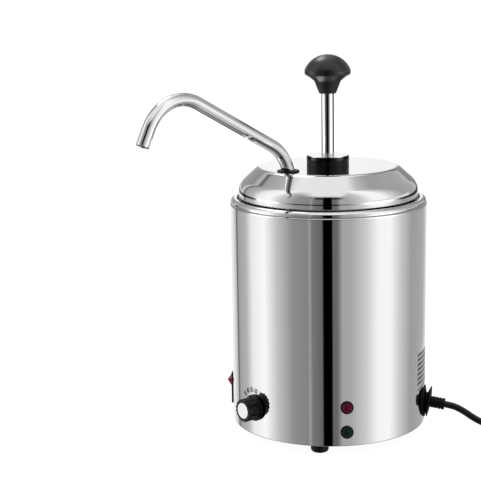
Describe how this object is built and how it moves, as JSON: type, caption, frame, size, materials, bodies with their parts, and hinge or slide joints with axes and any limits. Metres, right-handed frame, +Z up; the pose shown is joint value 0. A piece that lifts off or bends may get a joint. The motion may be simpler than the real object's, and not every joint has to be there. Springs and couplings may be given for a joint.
{
  "type": "heated sauce dispenser",
  "caption": "Heated sauce dispenser: polished round pot with water well, lift-out jar, lid with hand pump and bent spout, thermostat knob, switch, signal lamps and mains cord.",
  "frame": {"origin": "centre of the feet's circle on the surface that the feet stand on, under the body's axis", "axes": "+Z up along the body's axis, -Y towards the spout's tip"},
  "size_m": [0.2844, 0.4493, 0.3667],
  "materials": {
    "polished_steel": "polished",
    "satin_steel": "satin",
    "plain_steel": "satin",
    "cast_aluminium": "matte",
    "copper": "satin",
    "pin_brass": "polished",
    "black_gloss": "gloss",
    "black_satin": "satin",
    "bright_cap": "satin",
    "red_lens": "gloss",
    "green_lens": "gloss",
    "red_rocker": "gloss",
    "black_rubber": "matte",
    "cord_black": "satin",
    "white_plastic": "satin",
    "brown_plastic": "satin",
    "ceramic": "matte",
    "wire_sleeve": "satin"
  },
  "bodies": {
    "base": {"outer_shell": "polished_steel", "water_well": "polished_steel", "base_plate": "plain_steel", "rubber_feet": "black_rubber", "plate_screws": "plain_steel", "plate_nuts": "plain_steel", "base_brackets": "plain_steel", "heater_plate": "cast_aluminium", "heater_bar": "plain_steel", "heater_nut": "plain_steel", "heater_terminals": "ceramic", "thermal_cutout": "ceramic", "thermostat_body": "brown_plastic", "thermostat_nuts": "plain_steel", "sensor_bulb": "copper", "bulb_clip": "plain_steel", "capillary_tube": "copper", "switch_housing": "black_satin", "lamp_bodies": "black_satin", "red_lamp_lens": "red_lens", "green_lamp_lens": "green_lens", "lamp_nuts": "black_satin", "gland_flange": "black_rubber", "gland_nut": "black_satin", "cord_boot": "black_rubber", "power_cord": "cord_black", "cord_coil": "cord_black", "cord_plug": "cord_black", "plug_pins": "pin_brass", "cord_tie": "black_satin", "terminal_block": "brown_plastic", "block_screws": "plain_steel", "inner_wires": "wire_sleeve"},
    "dial": {"control_shaft": "plain_steel", "control_knob": "black_gloss", "knob_cap": "bright_cap", "knob_set_screw": "plain_steel"},
    "rocker": {"switch_rocker": "red_rocker"},
    "jar": {"sauce_jar": "satin_steel"},
    "pump": {"lid": "polished_steel", "spout_tube": "polished_steel", "spout_grommet": "black_rubber", "pump_collar": "black_gloss", "collar_disc": "polished_steel", "pump_cylinder": "satin_steel", "lid_gasket": "black_rubber", "rod_bush": "white_plastic", "return_spring": "plain_steel", "valve_body": "satin_steel", "outlet_elbow": "satin_steel", "ball_stop_pins": "plain_steel", "union_seal": "black_rubber", "union_nut": "satin_steel"},
    "plunger": {"plunger_rod": "polished_steel", "plunger_knob": "black_satin", "piston": "white_plastic", "piston_seal": "black_rubber", "piston_nut": "plain_steel"},
    "inlet_check": {"inlet_ball": "plain_steel"},
    "outlet_check": {"outlet_ball": "plain_steel"}
  },
  "joints": [
    {"name": "dial_turn", "type": "hinge", "parent": "base", "child": "dial", "pos_m": [-0.00679, -0.09476, 0.0369], "axis": [0.0715, 0.9974, 0], "range_deg": [0, 270]},
    {"name": "rocker_tilt", "type": "hinge", "parent": "base", "child": "rocker", "pos_m": [-0.07656, -0.05624, 0.0361], "axis": [-0.592, 0.8059, 0], "range_deg": [0, 28]},
    {"name": "jar_lift", "type": "slide", "parent": "base", "child": "jar", "axis": [0, 0, 1], "range_m": [0, 0.15]},
    {"name": "lid_lift", "type": "slide", "parent": "jar", "child": "pump", "axis": [0, 0, 1], "range_m": [0, 0.15]},
    {"name": "plunger_press", "type": "slide", "parent": "pump", "child": "plunger", "axis": [0, 0, -1], "range_m": [0, 0.05], "stiffness_N_per_m": 300, "springref_m": -0.03, "deforming": ["return_spring"]},
    {"name": "inlet_ball_lift", "type": "slide", "parent": "pump", "child": "inlet_check", "axis": [0, 0, 1], "range_m": [0, 0.004]},
    {"name": "outlet_ball_lift", "type": "slide", "parent": "pump", "child": "outlet_check", "axis": [0, 0, 1], "range_m": [0, 0.004]}
  ]
}
